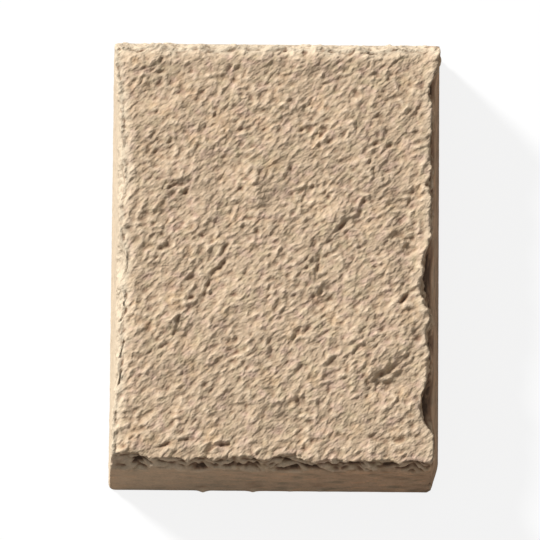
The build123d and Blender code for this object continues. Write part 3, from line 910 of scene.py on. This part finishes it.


# %% [markdown]
# ## Sandy concrete
# The stone is a warm tan. Look closely and it is never one colour: olive, pink and orange patches as
# wide as a fingertip lie over it, and single grains of sand are lighter or darker. Noises of several
# sizes give that. The hollows get painted shade, a redder brown that is nearly black in the deepest
# slots, and the crests a painted highlight, which comes from the values on the mesh.

# %% Colours
TAN = (0.51, 0.38, 0.257, 1.0)
OLIVE = (0.50, 0.40, 0.25, 1.0)
PINK = (0.56, 0.39, 0.30, 1.0)
ORANGE = (0.58, 0.385, 0.22, 1.0)
# Painted shade for the hollows, and a painted shadow, nearly black, for the deepest slots.
PAINTED_SHADE_BROWN = (0.24, 0.14, 0.085, 1.0)
PAINTED_SHADOW_BROWN = (0.08, 0.05, 0.033, 1.0)
# A painted highlight for the crests.
PAINTED_HIGHLIGHT_CREAM = (0.76, 0.60, 0.43, 1.0)
CAST_TAN = (0.63, 0.44, 0.295, 1.0)
CAST_ORANGE = (0.80, 0.51, 0.31, 1.0)
CAST_OLIVE = (0.36, 0.28, 0.195, 1.0)
# Painted light for the sides and rims that face the lamp.
PAINTED_LIGHT_CREAM = (0.61, 0.505, 0.37, 1.0)

# %% Noises and values for this finish
stone = Finish("cast_stone")
place = stone.node("ShaderNodeNewGeometry")["Position"]


def grain(size, detail=2.0, roughness=0.5, at=place):
    """Noise over the stone with patches about this many millimetres wide."""
    sockets = {"Vector": at, "Scale": 1 / (size * MM), "Detail": detail, "Roughness": roughness}
    return stone.node("ShaderNodeTexNoise", {"noise_dimensions": "3D"}, sockets)


def drawn_out(vector, factors):
    """Scales a place on each axis, so that a noise read there is drawn out where the factor is small."""
    sockets = {0: vector, 1: factors}
    return stone.node("ShaderNodeVectorMath", {"operation": "MULTIPLY"}, sockets)["Vector"]


def channels(noise_node):
    """A noise's colour as three separate noises, Red, Green and Blue."""
    return stone.node("ShaderNodeSeparateColor", {}, {"Color": noise_node["Color"]})


shade_and_mottle_value, broken_value, painted_light_value = (
    stone.node("ShaderNodeAttribute", {"attribute_name": name})["Fac"] for name, *sides in known
)

# %% Patches on the tan
wide = grain(size=9.0)["Fac"]
patch = channels(grain(size=5.5))
colour = stone.tint(TAN, patch["Red"], OLIVE, start=0.5, full=0.75, cover=0.65)
colour = stone.tint(colour, patch["Green"], PINK, start=0.52, full=0.75, cover=0.8)
colour = stone.tint(colour, wide, ORANGE, start=0.55, full=0.8, cover=0.6)

# %% [markdown]
# The cast sides show how the wet mix lay in its mould: long level streaks of orange and olive, from a
# noise drawn out flat.

# %% Streaks on the cast sides
CAST_COVER = 0.85
ORANGE_COVER = 0.8
OLIVE_COVER = 0.9
LEVEL_STREAKS = (0.5, 0.5, 1.1)
smooth = 1 - broken_value
colour = stone.mix(smooth * CAST_COVER, colour, CAST_TAN)
lain = drawn_out(place, LEVEL_STREAKS)
bedding = channels(grain(size=5.0, detail=4.0, roughness=0.65, at=lain))
orange_streaks = stone.ramp(bedding["Red"], low=0.5, high=0.68) * smooth
olive_streaks = stone.ramp(bedding["Green"], low=0.48, high=0.66) * smooth
colour = stone.mix(orange_streaks * ORANGE_COVER, colour, CAST_ORANGE)
colour = stone.mix(olive_streaks * OLIVE_COVER, colour, CAST_OLIVE)

# %% [markdown]
# Painted light, painted highlights and painted shade come last, over the colours of the stone itself.

# %% Painted light, highlights and shade
# Painted light on the sides and rims that face the lamp.
colour = stone.mix(stone.ramp(painted_light_value, low=0.0, high=0.65), colour, PAINTED_LIGHT_CREAM)
# Painted highlight: the crests, above the mean of their neighbours, are painted pale.
colour = stone.tint(colour, 0 - shade_and_mottle_value, PAINTED_HIGHLIGHT_CREAM, start=0.05, full=0.6, cover=0.65)
# Painted shade in the hollows, and a painted shadow, nearly black, in the deepest slots.
colour = stone.tint(colour, shade_and_mottle_value, PAINTED_SHADE_BROWN, start=0.08, full=0.75, cover=0.8)
colour = stone.tint(colour, shade_and_mottle_value, PAINTED_SHADOW_BROWN, start=0.85, full=1.7, cover=0.85)

# %% [markdown]
# Single grains of sand are lighter or darker, and so, more slowly, is the whole mix. Both multiply the
# colour, so they change its lightness and not its hue.

# %% Light and dark grains
DARKEST, SAND_RANGE, SLOW_RANGE = 0.84, 0.2, 0.1
NOISE_LOW, NOISE_HIGH = 0.3, 0.7
sand = stone.ramp(grain(size=0.9, detail=3.0, roughness=0.6)["Fac"], NOISE_LOW, NOISE_HIGH)
slow = stone.ramp(grain(size=22.0)["Fac"], NOISE_LOW, NOISE_HIGH)
shade = DARKEST + sand * SAND_RANGE + slow * SLOW_RANGE
grey = stone.node("ShaderNodeCombineColor", {}, {"Red": shade, "Green": shade, "Blue": shade})
colour = stone.mix(1.0, colour, grey["Color"], "MULTIPLY")

# %% [markdown]
# The quads of the skin are 0.7 mm wide, so the finest grain and the finest streaks of the break are a
# bump. The streaks are a noise that is turned to their heading and drawn out along it. The cast sides
# get a quarter of their height.

# %% Grain too fine for the mesh
SAND_BUMP, CAST_BUMP, BREAK_BUMP = 0.2, 0.25, 0.75
BUMP_HEIGHT = 1.0
ALONG_HEADING = (0.6, 1.0, 1.0)
fine = grain(size=0.7, detail=4.0, roughness=0.6)["Fac"]
heading = {"Vector": place, "Angle": -STREAK_HEADING}
turned = stone.node("ShaderNodeVectorRotate", {"rotation_type": "Z_AXIS"}, heading)["Vector"]
chisel = grain(size=1.7, detail=1.0, at=drawn_out(turned, ALONG_HEADING))["Fac"]
texture = fine * SAND_BUMP + chisel * (CAST_BUMP + broken_value * BREAK_BUMP)
bump_sockets = {"Strength": 1.0, "Distance": BUMP_HEIGHT * MM, "Height": texture}
bump = stone.node("ShaderNodeBump", {}, bump_sockets)["Normal"]

# %% The stone's surface
# Concrete is matt, so it is almost fully rough and reflects little.
surface_sockets = {"Base Color": colour, "Roughness": 0.92, "Specular IOR Level": 0.2, "Normal": bump}
shader = stone.node("ShaderNodeBsdfPrincipled", {}, surface_sockets)["BSDF"]
stone.node("ShaderNodeOutputMaterial", {}, {"Surface": shader})
skin_mesh.materials.append(stone.material)
print("the finish has", len(stone.tree.nodes), "nodes")

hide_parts("trim_stone")
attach(skin, "root")

# %% [markdown]
# ## Floor
# The stone was shot on white. A floor that bright would throw its own light back up the sides, so the
# camera sees a white floor and the stone sees a grey one. Part of the white is the floor's own colour
# and keeps the stone's shadow.

# %% The floor
FLOOR_SIZE = 6.0
FLOOR_DROP = 0.0002
half = FLOOR_SIZE / 2
corners = [(x * half, y * half, -FLOOR_DROP) for x, y in ((-1, -1), (1, -1), (1, 1), (-1, 1))]
floor_mesh = bpy.data.meshes.new("floor")
floor_mesh.from_pydata(corners, [], [(0, 1, 2, 3)])
floor = bpy.data.objects.new("floor", floor_mesh)
bpy.context.collection.objects.link(floor)
print("floor", FLOOR_SIZE, "m wide")

# %% The floor's finish
WHITE = (1.0, 1.0, 1.0, 1.0)
FLOOR_GREY = (0.42, 0.33, 0.26, 1.0)
GLOW_SHARE = 0.85
paper = Finish("floor_paper")
ray = paper.node("ShaderNodeLightPath")
seen = ray["Is Camera Ray"] + ray["Is Glossy Ray"] + ray["Is Transmission Ray"]
paper_colour = paper.mix(seen, FLOOR_GREY, WHITE)
paper_face = paper.node("ShaderNodeBsdfDiffuse", {}, {"Color": paper_colour})["BSDF"]
paper_glow = paper.node("ShaderNodeEmission", {}, {"Color": WHITE, "Strength": 1.0})["Emission"]
paper_sockets = {0: seen * GLOW_SHARE, 1: paper_face, 2: paper_glow}
paper_mix = paper.node("ShaderNodeMixShader", {}, paper_sockets)["Shader"]
paper.node("ShaderNodeOutputMaterial", {}, {"Surface": paper_mix})
floor_mesh.materials.append(paper.material)

# %% [markdown]
# ## Light
# The light comes low from the upper left, so each bump has a bright and a dark side and the relief can be
# read. A sun lamp does that evenly over the whole stone. The world fills the shadows.

# %% Lamp and world
LIGHT_HEADING = math.radians(140.0)
LIGHT_ELEVATION = math.radians(30.0)
LIGHT_SPREAD = math.radians(9.0)
SUN_STRENGTH = 4.9
FILL_STRENGTH = 0.31

sun_data = bpy.data.lights.new("key", "SUN")
sun_data.energy = SUN_STRENGTH
sun_data.angle = LIGHT_SPREAD
sun = bpy.data.objects.new("key", sun_data)
sun.rotation_euler = Euler((0, math.pi / 2 - LIGHT_ELEVATION, LIGHT_HEADING))
bpy.context.collection.objects.link(sun)

world = bpy.data.worlds.new("studio")
world.use_nodes = True
bpy.context.scene.world = world
sky = world.node_tree.nodes["Background"]
sky.inputs["Color"].default_value = WHITE
sky.inputs["Strength"].default_value = FILL_STRENGTH
print("sun", SUN_STRENGTH, "fill", FILL_STRENGTH)

# %% [markdown]
# ## Camera
# The camera stands where the projection above puts it, and rolls by the half degree that the stone is
# turned in the photograph.

# %% The camera
camera_data = bpy.data.cameras.new("camera")
camera_data.sensor_width = SENSOR
camera_data.lens = SENSOR * CAMERA_DISTANCE / (IMAGE_PIXELS * MM_PER_PIXEL)
camera_data.clip_start = 0.05
camera_data.clip_end = 50.0
print("lens", round(camera_data.lens), "mm")
camera = bpy.data.objects.new("camera", camera_data)
turn = Matrix.Rotation(math.pi / 2 - CAMERA_ELEVATION, 4, "X") @ Matrix.Rotation(CAMERA_ROLL, 4, "Z")
stand = turn @ Vector((AIM_RIGHT, AIM_UP, CAMERA_DISTANCE)) * MM
camera.matrix_world = Matrix.Translation(stand) @ turn
bpy.context.collection.objects.link(camera)
bpy.context.scene.camera = camera
bpy.context.scene.view_settings.view_transform = "Standard"
